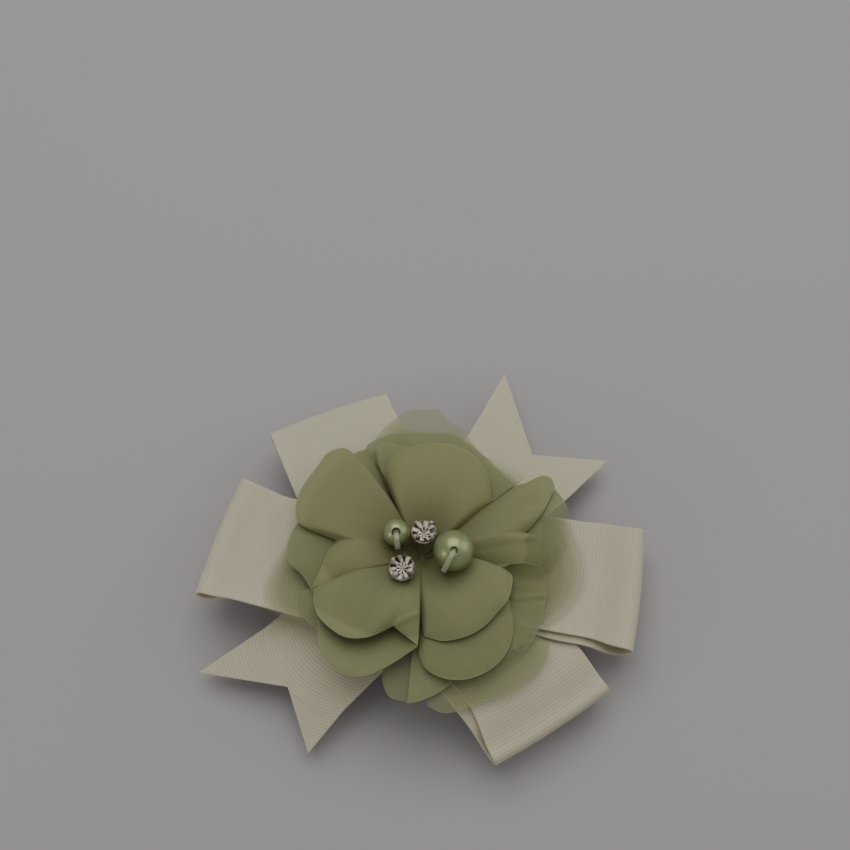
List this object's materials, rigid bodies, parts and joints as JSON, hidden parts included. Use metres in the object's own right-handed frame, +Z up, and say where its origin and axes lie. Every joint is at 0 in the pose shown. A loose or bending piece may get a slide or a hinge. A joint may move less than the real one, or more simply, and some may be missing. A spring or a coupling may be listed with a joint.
{
  "type": "wrist corsage",
  "caption": "Fabric flower of layered chiffon petals with a pearl and rhinestone centre, on a looped ribbon bow with swallow-tail ends and an elastic band for the wrist.",
  "frame": {"origin": "on the flat underside of the elastic band, straight below the flower's axis", "axes": "+Z up out of the flower's face, +X to the right and -Y towards the front as the flower is looked at"},
  "size_m": [0.0845, 0.0805, 0.0276],
  "materials": {
    "ribbon_ivory": "ribbed grosgrain ribbon, soft sheen",
    "elastic_ivory": "woven elastic, matt",
    "felt_ivory": "wool-like felt, matt",
    "chiffon_sage": "fine plain weave, soft sheen",
    "chiffon_pale": "fine plain weave, slightly sheer",
    "thread_pale": "twisted thread, satin",
    "pearl_green": "pearl coating, glossy",
    "crystal_clear": "cut and polished, foiled back",
    "setting_silver": "polished plate"
  },
  "bodies": {
    "root": {"wristband": "elastic_ivory", "felt_backing": "felt_ivory", "tail_strip": "ribbon_ivory", "bow_diagonal": "ribbon_ivory", "bow_side": "ribbon_ivory", "flower_base": "chiffon_sage", "petal_outer_back": "chiffon_pale", "petal_outer_left_back": "chiffon_pale", "petal_outer_left": "chiffon_pale", "petal_outer_front": "chiffon_pale", "petal_outer_front_right": "chiffon_pale", "petal_outer_right": "chiffon_pale", "petal_third_back": "chiffon_sage", "petal_third_left": "chiffon_sage", "petal_third_front_left": "chiffon_sage", "petal_third_front": "chiffon_sage", "petal_third_front_right": "chiffon_sage", "petal_second_back": "chiffon_sage", "petal_second_left": "chiffon_sage", "petal_second_front_left": "chiffon_sage", "petal_second_front_right": "chiffon_sage", "petal_second_right": "chiffon_sage", "petal_top_back": "chiffon_sage", "petal_top_left": "chiffon_sage", "petal_top_front_left": "chiffon_sage", "petal_top_front_right": "chiffon_sage", "petal_top_right": "chiffon_sage", "pearl_small": "pearl_green", "pearl_large": "pearl_green", "stitch_small": "thread_pale", "stitch_large": "thread_pale", "rhinestone_back": "crystal_clear", "rhinestone_front": "crystal_clear", "setting_back": "setting_silver", "setting_front": "setting_silver"}
  },
  "joints": []
}
